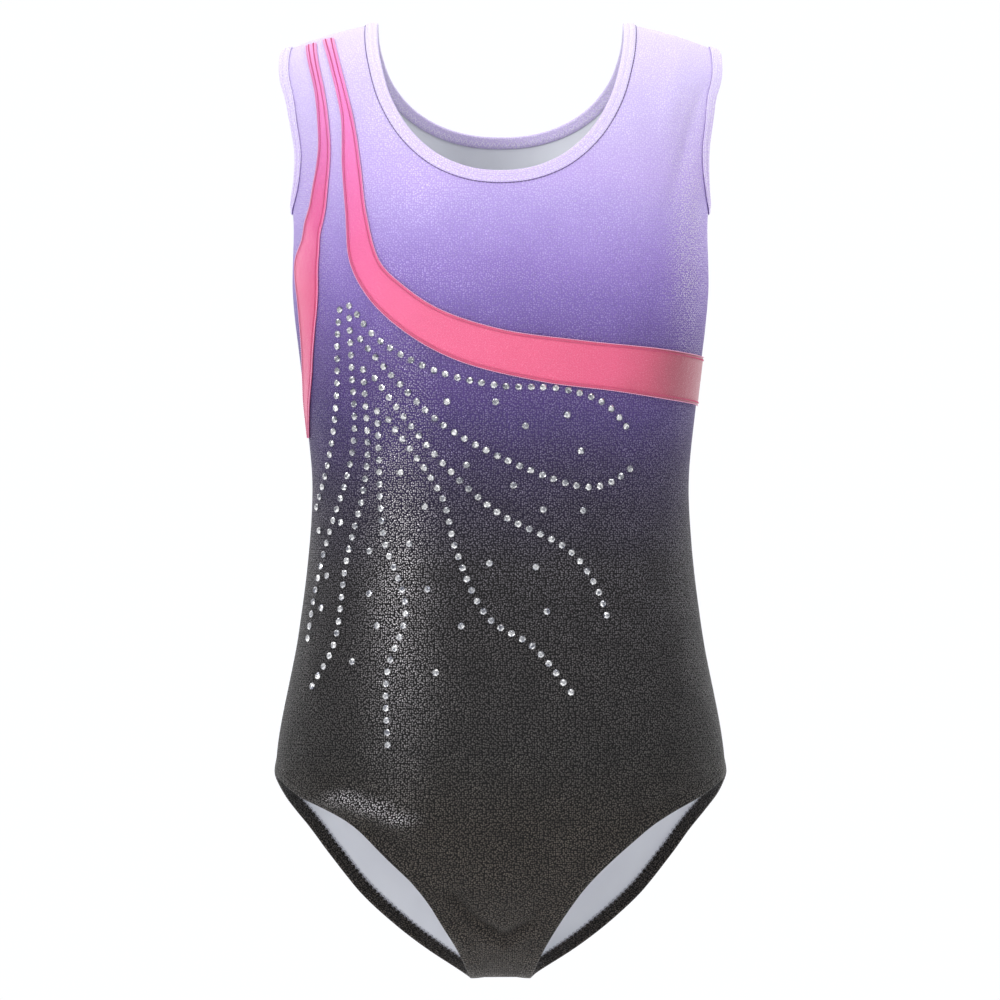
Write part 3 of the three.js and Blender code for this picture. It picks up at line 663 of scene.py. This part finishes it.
fade_stops = [
    (0, "#d8cbf4"), (20, "#d2c3f1"), (52, "#c6b5e8"), (85, "#b9a3e1"), (101, "#ac98d9"),
    (118, "#9f89cf"), (134, "#8f77c0"), (151, "#7d67af"), (167, "#6d579c"), (183, "#5e4b88"),
    (200, "#4f3c77"), (216, "#423468"), (233, "#372b54"), (249, "#2b2340"), (265, "#201a2f"),
    (282, "#161320"), (298, "#100e12"), (314, "#0c0b0d"), (396, "#0a090a"), (430, "#0d0b0a"),
    (519, "#110e0c"),
]
dot_stops = [
    (0, "#f0e8fb"), (52, "#e4daf8"), (101, "#cdbeee"), (134, "#b6a4e0"), (167, "#a08fca"),
    (200, "#9487b8"), (233, "#8b82a5"), (265, "#847e90"), (298, "#7e7a81"), (340, "#736f71"),
    (396, "#676462"), (440, "#6a635c"), (519, "#6e655d"),
]
foil_cloth = foil_spandex("foil_dot_spandex", fade_stops, dot_stops)
inner_jersey = white_jersey("brushed_inner_jersey", "#dfe1e8", 900.0)
front_panel = panel("front_panel", -1, [foil_cloth, inner_jersey])
back_panel = panel("back_panel", 1, [foil_cloth, inner_jersey])

# --- Stitching thread, for every sewn edge ----------------
# Polyester thread 0.3 mm thick, in rows of lockstitch, coverstitch and zigzag. Each stitch is
# one small spindle of thread lying on the cloth.


def thread(name, colour):
    """Spun polyester sewing thread with a twist."""
    made, tree = new_material(name)
    coords = add_node(tree, "TexCoord").outputs
    twist = add_node(tree, "TexWave", {"Vector": coords["Object"], "Scale": 1500.0,
        "Distortion": 2.0}, wave_type="BANDS", bands_direction="DIAGONAL")
    tone = add_node(tree, "Mix", {0: twist.outputs["Fac"], 6: linear(colour), 7: linear("#ffffff")},
        data_type="RGBA")
    soften = add_node(tree, "Mix", {0: 0.12, 6: linear(colour), 7: tone.outputs[2]},
        data_type="RGBA")
    shader = add_node(tree, "BsdfPrincipled", {"Base Color": soften.outputs[2], "Roughness": 0.6,
        "Sheen Weight": 0.2})
    add_node(tree, "OutputMaterial", {"Surface": shader})
    return made


# A stitch: the share of its length, the share of its thickness and the lift of each ring.
spindle = ((0.0, 0.45, 0.0), (0.28, 1.0, 0.5), (0.72, 1.0, 0.5), (1.0, 0.45, 0.0))
fine_thread, heavy_thread, edge_thread, shadow_thread = 0.17, 0.2, 0.22, 0.24


def stitches(name, pairs, radius, material):
    """One mesh of stitches, each from one (place, out) to another, in millimetres."""
    mesh = bmesh.new()
    for (start, out_1), (end, out_2) in pairs:
        along = end - start
        if along.length < 0.2:
            continue
        out = (out_1 + out_2).normalized()
        side = along.normalized().cross(out) * radius
        rise = out * radius
        rings = []
        for share, width, lift in spindle:
            centre = start + along * share + out * radius * lift
            rings.append([mesh.verts.new((centre + corner * width) * 0.001)
                          for corner in (side, rise, -side, -rise)])
        for before, after in zip(rings, rings[1:]):
            for k in range(4):
                mesh.faces.new([before[k], before[(k + 1) % 4], after[(k + 1) % 4], after[k]])
        mesh.faces.new(rings[0][::-1])
        mesh.faces.new(rings[-1])
    bmesh.ops.recalc_face_normals(mesh, faces=mesh.faces[:])
    for face in mesh.faces:
        face.smooth = True
    piece = finished(mesh, name, [material])
    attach(piece, "root")
    return piece


def sewn_row(run, inward, lift, pitch, length, closed=True, swing=0.0):
    """Stitches along a run: straight ones, or zigzag ones that swing from side to side."""
    total = smooth_line([spot.place for spot in run], closed, len(run) * 2)[1]
    feet = []
    for spot in run:
        feet.append((settle(spot.place + spot.away * (inward - swing), spot, 3),
                     settle(spot.place + spot.away * (inward + swing), spot, 3)))
    per_step = total / (len(run) if closed else len(run) - 1)

    def at(distance, which):
        share = distance / per_step
        low = int(share)
        mix = share - low
        if closed:
            here, there = feet[low % len(run)][which], feet[(low + 1) % len(run)][which]
        else:
            here = feet[min(low, len(run) - 1)][which]
            there = feet[min(low + 1, len(run) - 1)][which]
        out = here.out if lift >= 0 else -here.out
        return lifted(here, lift).lerp(lifted(there, lift), mix), out

    count = int(total / pitch)
    pitch = total / count
    pairs = []
    for step in range(count):
        which = step % 2
        end = (step + 1) * pitch if swing else step * pitch + length * pitch
        pairs.append((at(step * pitch, which), at(end, 1 - which if swing else which)))
    return pairs


# --- Neck and armhole bindings ----------------------------
# Strips of the same foil knit, folded over the raw edge with elastic inside, and held by a
# twin-needle coverstitch. The finished band is 6.6 mm wide.


def rounded_fold(reach, rise):
    """The half turn of a folded edge, from its inner side to its outer side."""
    angles = [math.pi * (step / 8 - 0.5) for step in range(9)]
    return [(reach * (1 - math.cos(angle)), rise * math.sin(angle)) for angle in angles]


def fold_profile(width, outer, inner, bulge):
    """A folded strip, as (along the cloth, out of the cloth), from inner to outer raw edge."""
    profile = [(width, -inner), (width * 0.72, -inner - bulge),
               (width * 0.45, -inner - bulge * 0.6)]
    profile += rounded_fold(1.15, 1.38)
    profile += [(width * 0.33, outer + bulge * 1.4), (width * 0.42, outer + bulge * 0.2),
                (width * 0.56, outer + bulge * 1.5), (width * 0.72, outer + bulge * 1.2),
                (width * 0.84, outer + bulge * 0.1), (width * 0.95, outer + bulge * 0.8),
                (width, outer)]
    return profile


strip_thickness = 0.4


def strip_rows(run, profile, closed=True):
    """The rows of a strip, from (along the cloth, out of the cloth, across the print)."""
    rows, along = [], 0.0
    for index, spot in enumerate(run):
        rows.append([(settle(spot.place + spot.away * inward, spot, 2), lift, across, along)
                     for inward, lift, across in profile])
        if closed or index + 1 < len(run):
            along += (run[(index + 1) % len(run)].place - spot.place).length
    return rows


def folded_strip(name, run, profile, materials):
    across, spread = 0.0, []
    for k, point in enumerate(profile):
        if k:
            across += math.dist(point, profile[k - 1])
        spread.append((*point, across))
    return cloth_object(name, strip_rows(run, spread), True, materials, strip_thickness)


def trim_fold(spots, count):
    return aim_away(run_through(spots, True, count))


def coverstitch(trim):
    """Two straight rows outside the binding, and the looper thread that joins them inside."""
    return (sewn_row(trim, 2.75, 1.55, 2.3, 0.78) + sewn_row(trim, 5.55, 1.5, 2.3, 0.78)
            + sewn_row(trim, 4.2, -1.7, 1.5, 1.0, swing=1.3))


pale_stops = [(0, "#e0d5f7"), (40, "#d9cbf3"), (90, "#cebbec"), (110, "#c3afe6")]
pale_dots = [(0, "#f3eefc"), (110, "#e9e1f9")]
pale_foil = foil_spandex("pale_foil_dot_spandex", pale_stops, pale_dots)
pale_thread = thread("pale_lilac_thread", "#efe8fc")
# Violet thread for the painted shadow line round the neck binding.
painted_shadow_thread = thread("violet_painted_shadow_thread", "#6a5390")
binding_profile = fold_profile(width=6.6, outer=1.1, inner=1.1, bulge=0.22)


def binding(name, trim):
    strip = folded_strip(f"{name}_binding_cloth", trim, binding_profile, [pale_foil])
    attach(strip, "root")
    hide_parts(f"{name}_binding")
    return strip, stitches(f"{name}_coverstitch", coverstitch(trim), fine_thread, pale_thread)


neck_trim = trim_fold(neck_edge(), 260)
neck_binding, neck_stitches = binding("neck", neck_trim)
# Painted shadow: a row of violet stitches just outside the binding's edge draws the dark line of
# shade under the binding.
neck_shadow = stitches("neck_painted_shadow_stitch", sewn_row(neck_trim, 6.95, 0.52, 1.9, 0.92),
                       shadow_thread, painted_shadow_thread)
for side, word in ((1, "left"), (-1, "right")):
    arm_trim = trim_fold(armhole_edge(side), 170)
    arm_binding, arm_stitches = binding(f"{word}_armhole", arm_trim)

# --- Leg hems ---------------------------------------------
# The panel's own edge, turned 8 mm to the inside over a flat elastic and held by a zigzag.
# Outside only the smooth turned edge shows, and inside the dark foil band and its stitches.

hem_profile = [(8.0, -1.05), (6.0, -1.3), (3.8, -1.25), (2.2, -1.2), *rounded_fold(1.05, 1.0),
               (2.2, 0.98), (3.8, 0.9), (5.5, 0.72), (7.2, 0.5), (8.0, 0.42)]
dark_thread = thread("charcoal_thread", "#8f8f98")
pale_zigzag = thread("pale_zigzag_thread", "#c9cbd6")
for side, word in ((1, "left"), (-1, "right")):
    leg_trim = trim_fold(leg_edge(side), 230)
    hem = folded_strip(f"{word}_leg_hem_cloth", leg_trim, hem_profile, [foil_cloth])
    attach(hem, "root")
    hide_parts(f"{word}_leg_hem")
    zigzag = stitches(f"{word}_leg_zigzag", sewn_row(leg_trim, 7.6, -1.5, 1.5, 1.0, swing=1.2),
                      heavy_thread, dark_thread)
    looper = stitches(f"{word}_leg_looper", sewn_row(leg_trim, 8.3, -1.15, 1.9, 1.0, swing=0.8),
                      fine_thread, pale_zigzag)

# --- Elastics and shoulder tapes --------------------------
# Braided white elastic lies inside every fold, and a short woven tape keeps each shoulder seam
# from stretching. The tapes keep the part's own shape and get a finish here.


def braided_elastic(name):
    """White polyester braid over rubber, with fine lengthwise ribs."""
    made, tree = new_material(name)
    coords = add_node(tree, "TexCoord").outputs
    braid = add_node(tree, "TexVoronoi", {"Vector": coords["Object"], "Scale": 1400.0})
    tone = add_node(tree, "Mix", {0: braid, 6: linear("#f4f4f4"), 7: linear("#cfd0d6")},
        data_type="RGBA")
    relief = add_node(tree, "Bump", {"Height": braid, "Strength": 0.5, "Distance": 0.0002})
    shader = add_node(tree, "BsdfPrincipled", {"Base Color": tone.outputs[2], "Roughness": 0.8,
        "Normal": relief})
    add_node(tree, "OutputMaterial", {"Surface": shader})
    return made


def elastic_ring(node, spots):
    rows = strip_rows(trim_fold(spots, 130),
                      [(inward, 0.4, inward) for inward in (0.85, 1.5, 2.3, 2.95)])
    ring = cloth_object(f"{node}_braid", rows, True, [elastic], thickness=0.8)
    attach(ring, "root")
    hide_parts(node)


elastic = braided_elastic("braided_elastic")
elastic_ring("neck_elastic", neck_edge())
for side, word in ((1, "left"), (-1, "right")):
    elastic_ring(f"{word}_armhole_elastic", armhole_edge(side))
    elastic_ring(f"{word}_leg_elastic", leg_edge(side))
    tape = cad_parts[f"{word}_shoulder_tape"]
    tape.data.materials.clear()
    tape.data.materials.append(elastic)

# --- Side and crotch seams --------------------------------
# Four-thread overlock ridges inside the garment, 6 mm wide, where the panels are joined.


def seam_ridge(name, run, material, thread_material):
    profile = []
    for step in range(9):
        across = -3 + 6 * step / 8
        profile.append((across, -1.05 - 0.35 * math.cos(across / 3 * 1.2), across))
    rows = strip_rows(run, profile, False)
    ridge = cloth_object(f"{name}_ridge", rows, False, [material], thickness=0.5)
    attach(ridge, "root")
    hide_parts(name)
    stitches(f"{name}_overlock", sewn_row(run, 0.0, -1.75, 1.6, 1.0, closed=False, swing=2.6),
             heavy_thread, thread_material)


overlock_cloth = white_jersey("overlocked_edge", "#8f8a9c", 700.0)
for side, word in ((1, "left"), (-1, "right")):
    seam_run = straight_down(lambda t: side * math.pi / 2, travel_at(armhole_drop) + 7.2,
                             travel_at(leg_top) - 8.6, 90)
    for spot in seam_run:
        spot.away = spot.around.normalized()
    seam_ridge(f"{word}_side_seam", seam_run, overlock_cloth, dark_thread)
crotch_run = []
for step in range(13):
    spot = seen_spot(8.4 * (step / 6 - 1), body_length)
    spot.away = Vector((0, 1, 0))
    crotch_run.append(spot)
seam_ridge("crotch_seam", crotch_run, overlock_cloth, dark_thread)

# --- Gusset lining ----------------------------------------
# A soft white jersey shield sewn inside the front, from the crotch seam upwards.

lining_run = move_away(leg_run, 8.6)
lining_edge = [spot for spot in quarter(lining_run, -1, 60) if -spot.place.z > body_length - 68]
lining_end = travel_end - 3.6 * crotch_round / hip_front
rows = []
for row in range(31):
    travel = lining_edge[0].travel + (lining_end - lining_edge[0].travel) * row / 30
    edge = min(lining_edge, key=lambda spot: abs(spot.travel - travel))
    rows.append([(spot_at(edge.angle * c / 16, travel), -1.0, edge.angle * c / 16 * 90, travel)
                 for c in range(-16, 17)])
lining_jersey = white_jersey("lining_jersey", "#d9dbe4", 900.0)
gusset_lining = cloth_object("gusset_lining_cloth", rows, False, [lining_jersey], 0.5)
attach(gusset_lining, "root")
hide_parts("gusset_lining")

# --- Appliqued stripes ------------------------------------
# Two shaped strips of satin foil knit, laid over the front and held by a satin stitch 2 mm
# inside each edge. The wide one runs round from the right shoulder across the chest.


def on_bodice(across, down):
    """A spot from the share across the body and the share down to the armhole, then the crotch."""
    drop = down * armhole_drop
    if down >= 1:
        drop = armhole_drop + (down - 1) * (body_length - armhole_drop)
    above = max(1 - down, 0)
    half = section_value(max(drop, armhole_drop), 1)
    return seen_spot(across * (half + (shoulder_half - half) * above), drop)


chest_upper = [
    (-0.7607, 0.0984), (-0.7308, 0.2694), (-0.6841, 0.5389), (-0.6565, 0.8187), (-0.6374, 1.0201),
    (-0.5721, 1.0815), (-0.4595, 1.1122), (-0.2938, 1.1421), (0, 1.1679), (0.3894, 1.1821),
    (0.7918, 1.1924), (1, 1.2019),
]
chest_lower = [
    (-0.8133, 0.1088), (-0.7818, 0.2694), (-0.741, 0.5389), (-0.7448, 0.8187), (-0.7386, 1.0201),
    (-0.7163, 1.0815), (-0.6268, 1.1287), (-0.4336, 1.1771), (-0.2019, 1.209), (0.2044, 1.2349),
    (0.6072, 1.2479), (1, 1.2645),
]
shoulder_inner = [
    (-0.8418, 0.1244), (-0.8103, 0.4041), (-0.796, 0.6839), (-0.8188, 0.9534), (-0.8559, 1.0508),
    (-0.8666, 1.0815), (-0.8732, 1.1287), (-0.9163, 1.1901), (-0.957, 1.2515), (-0.9869, 1.3058),
]
shoulder_outer = [
    (-0.8914, 0.1399), (-0.8573, 0.4041), (-0.8525, 0.6839), (-0.8919, 0.9534), (-0.9474, 1.0508),
    (-0.9816, 1.0815), (-0.9707, 1.1287), (-0.9754, 1.1901), (-0.9916, 1.2515), (-0.9945, 1.3058),
]


def satin_foil(name, stops):
    """Pink satin foil knit, brightest over the chest, with pale raw margins."""
    made, tree = new_material(name)
    coords = add_node(tree, "TexCoord").outputs
    place = add_node(tree, "SeparateXYZ", {"Vector": coords["UV"]})
    drift = add_node(tree, "TexNoise", {"Vector": coords["Object"], "Scale": 45.0})
    shifted = add_node(tree, "Math", {0: drift, 1: 0.02, 2: place.outputs["Y"]},
        operation="MULTIPLY_ADD")
    share = add_node(tree, "MapRange", {"Value": shifted, "From Min": 0.01,
        "From Max": stops[-1][0] * 0.001})
    fade = add_node(tree, "ValToRGB", {"Fac": share})
    fill_ramp(fade, stops, stops[-1][0])
    knit = add_node(tree, "TexVoronoi", {"Vector": coords["UV"], "Scale": 1300.0,
        "Randomness": 0.6}, voronoi_dimensions="2D")
    tone = add_node(tree, "MapRange", {"Value": knit, "To Min": 0.0, "To Max": 0.26})
    colour = add_node(tree, "Mix", {0: tone, 6: fade, 7: linear("#ffd3e2")}, data_type="RGBA")
    mottle = add_node(tree, "TexNoise", {"Vector": coords["UV"], "Scale": 330.0, "Detail": 3.0})
    uneven = add_node(tree, "Bump", {"Height": mottle, "Strength": 0.5, "Distance": 0.0009})
    relief = add_node(tree, "Bump", {"Height": knit, "Strength": 0.6, "Distance": 0.0004,
        "Normal": uneven})
    shader = add_node(tree, "BsdfPrincipled", {"Base Color": colour.outputs[2], "Roughness": 0.38,
        "Metallic": 0.25, "Sheen Weight": 0.15, "Normal": relief})
    add_node(tree, "OutputMaterial", {"Surface": shader})
    return made


stripe_lift, stripe_pillow = 1.15, 0.25


def stripe(name, upper, lower, steps, columns, stops):
    first = run_through([on_bodice(*pair) for pair in upper], False, steps)
    second = run_through([on_bodice(*pair) for pair in lower], False, steps)
    rows, along = [], 0.0
    for index, (one, two) in enumerate(zip(first, second)):
        width = (two.place - one.place).length
        row = []
        for c in range(columns + 1):
            share = c / columns
            lift = stripe_lift + stripe_pillow * math.sin(math.pi * share) ** 0.5
            row.append((between(one, two, share), lift, width * share, along))
        rows.append(row)
        if index + 1 < len(first):
            ahead = first[index + 1].place + second[index + 1].place
            along += (ahead - (one.place + two.place)).length / 2
    for edge, other in ((first, second), (second, first)):
        for spot, across in zip(edge, other):
            spot.away = (across.place - spot.place).normalized()
    cloth = satin_foil(f"{name}_satin", stops)
    piece = cloth_object(f"{name}_cloth", rows, False, [cloth], strip_thickness)
    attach(piece, "root")
    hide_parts(name)
    zigzag, raw = [], []
    for run in (first, second):
        zigzag += sewn_row(run, 1.7, 1.5, 0.75, 1.0, closed=False, swing=0.45)
        raw += sewn_row(run, 0.1, 1.3, 1.2, 0.95, closed=False)
    satin = stitches(f"{name}_satin_stitch", zigzag, fine_thread, magenta_thread)
    edge = stitches(f"{name}_edge_stitch", raw, edge_thread, pale_pink_thread)
    return piece


magenta_thread = thread("magenta_thread", "#c41f66")
pale_pink_thread = thread("pale_pink_thread", "#f3a9cf")
stripe_steps = 190
# The chest strip's colours fade from pale pink at its start to deep pink. The last two stops, which
# darken to #94223f where the strip wraps to the side seam, are painted shade.
stripe("chest_stripe", chest_upper, chest_lower, stripe_steps, 14,
       [(0, "#f191d6"), (40, "#ef7ccb"), (90, "#ea64b0"), (130, "#e64f93"), (190, "#dd487c"),
        (250, "#da4072"), (300, "#d83c6e"), (325, "#bc2c57"), (345, "#94223f")])
stripe("shoulder_stripe", shoulder_inner, shoulder_outer, stripe_steps, 8,
       [(0, "#f191d6"), (70, "#ea70be"), (110, "#ea4c98"), (160, "#e03a7c"), (215, "#d43a78")])

# --- Rhinestones ------------------------------------------
# Hot-fix crystals 4 mm across with silvered backs, pressed on one by one. Rows of them fan out
# from under the right end of the chest stripe, and single ones lie between the rows.

rays = [
    [(-0.769, 1.1381), (-0.7963, 1.1806), (-0.8209, 1.2444), (-0.8527, 1.2916), (-0.916, 1.3506),
     (-0.971, 1.3991)],
    [(-0.7253, 1.1334), (-0.7292, 1.1641), (-0.7384, 1.2208), (-0.7479, 1.2916), (-0.8047, 1.3554),
     (-0.898, 1.4333), (-0.9371, 1.5041), (-0.941, 1.5679)],
    [(-0.681, 1.2149), (-0.69, 1.32), (-0.7271, 1.3837), (-0.7923, 1.464), (-0.8117, 1.5726),
     (-0.8851, 1.6281)],
    [(-0.6265, 1.268), (-0.6313, 1.3861), (-0.6025, 1.438), (-0.4728, 1.5254), (-0.5369, 1.6057),
     (-0.5018, 1.7025)],
    [(-0.6996, 1.1452), (-0.6056, 1.1783), (-0.3503, 1.2184), (-0.0186, 1.2397), (0.3172, 1.2444),
     (0.5312, 1.2633), (0.6585, 1.2952)],
    [(-0.6911, 1.1771), (-0.5544, 1.2231), (-0.2858, 1.2916), (0.1363, 1.3459), (0.459, 1.3695),
     (0.5858, 1.3625), (0.6907, 1.3436)],
    [(-0.6359, 1.2267), (-0.3201, 1.3341), (-0.0243, 1.4002), (0.3645, 1.4522), (0.4884, 1.4994),
     (0.5307, 1.5372)],
    [(-0.5817, 1.2798), (-0.3124, 1.3802), (-0.2304, 1.4498), (-0.0599, 1.536), (0.1578, 1.5726),
     (0.3359, 1.634)],
]


def crystal(name):
    """Cut lead-free crystal glass over a silvered back: each facet mirrors on its own."""
    made, tree = new_material(name)
    coords = add_node(tree, "TexCoord").outputs
    # Painted reflection: random cells of the crystal's colour are white and others dark grey,
    # standing in for the bright and dark flashes of the facets.
    painted_glint_cells = add_node(tree, "TexVoronoi", {"Vector": coords["Object"], "Scale": 620.0})
    chance = add_node(tree, "SeparateColor", {"Color": painted_glint_cells.outputs["Color"]})
    tone = add_node(tree, "Mix", {0: chance, 6: linear("#ffffff"), 7: linear("#6f7280")},
        data_type="RGBA")
    shader = add_node(tree, "BsdfPrincipled", {"Base Color": tone.outputs[2], "Metallic": 0.8,
        "Roughness": 0.1, "Coat Weight": 1.0, "Coat Roughness": 0.02})
    add_node(tree, "OutputMaterial", {"Surface": shader})
    return made


def add_stone(mesh, spot, turn):
    """A chaton of eight kites round a flat table, standing on the cloth."""
    out = spot.out
    side = spot.around.normalized()
    ahead = out.cross(side)
    base, facets = lifted(spot, 0.55), 8

    def ring(radius, height, offset):
        angles = [turn + offset + math.tau * k / facets for k in range(facets)]
        return [mesh.verts.new((base + side * radius * math.cos(a) + ahead * radius * math.sin(a)
                                + out * height) * 0.001) for a in angles]

    foot = ring(1.95, 0.0, 0.0)
    girdle_line = ring(2.0, 0.45, 0.0)
    middle_ring = ring(1.62, 0.95, math.pi / facets)
    table = ring(1.05, 1.4, 0.0)
    for k in range(facets):
        n = (k + 1) % facets
        mesh.faces.new([foot[k], foot[n], girdle_line[n], girdle_line[k]])
        mesh.faces.new([girdle_line[k], girdle_line[n], middle_ring[k]])
        mesh.faces.new([girdle_line[n], middle_ring[n], table[n], middle_ring[k]])
        mesh.faces.new([middle_ring[k], table[n], table[k]])
    mesh.faces.new(table)
    mesh.faces.new(foot[::-1])


def stone_piece(name, spots, first_turn):
    mesh = bmesh.new()
    for index, spot in enumerate(spots):
        add_stone(mesh, spot, first_turn + index * 1.7)
    bmesh.ops.recalc_face_normals(mesh, faces=mesh.faces[:])
    piece = finished(mesh, f"{name}_cut", [cut_crystal])
    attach(piece, "root")
    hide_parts(name)


cut_crystal = crystal("cut_crystal")
line_steps, end_gap, stone_pitch, closest = 400, 2, 6.6, 4.4
placed = []
for number, ray in enumerate(rays, 1):
    guide = [on_bodice(*pair) for pair in ray]
    line, length = smooth_line([spot.place for spot in guide], False, line_steps)
    count = round((length - 2 * end_gap) / stone_pitch)
    stones = []
    for step in range(count + 1):
        along = end_gap + (length - 2 * end_gap) * step / count
        place, near = line[round(along / length * line_steps)]
        spot = settle(place, guide[near], 6)
        if all((other - spot.place).length > closest for other in placed):
            stones.append(spot)
    placed += [spot.place for spot in stones]
    stone_piece(f"rhinestone_ray_{number}", stones, number * 0.6)
for number in range(1, 27):
    low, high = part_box(f"rhinestone_{number}")
    centre = (low + high) * 500
    spot = settle(centre, seen_spot(centre.x, -centre.z), 6)
    stone_piece(f"rhinestone_{number}", [spot], number * 1.1)
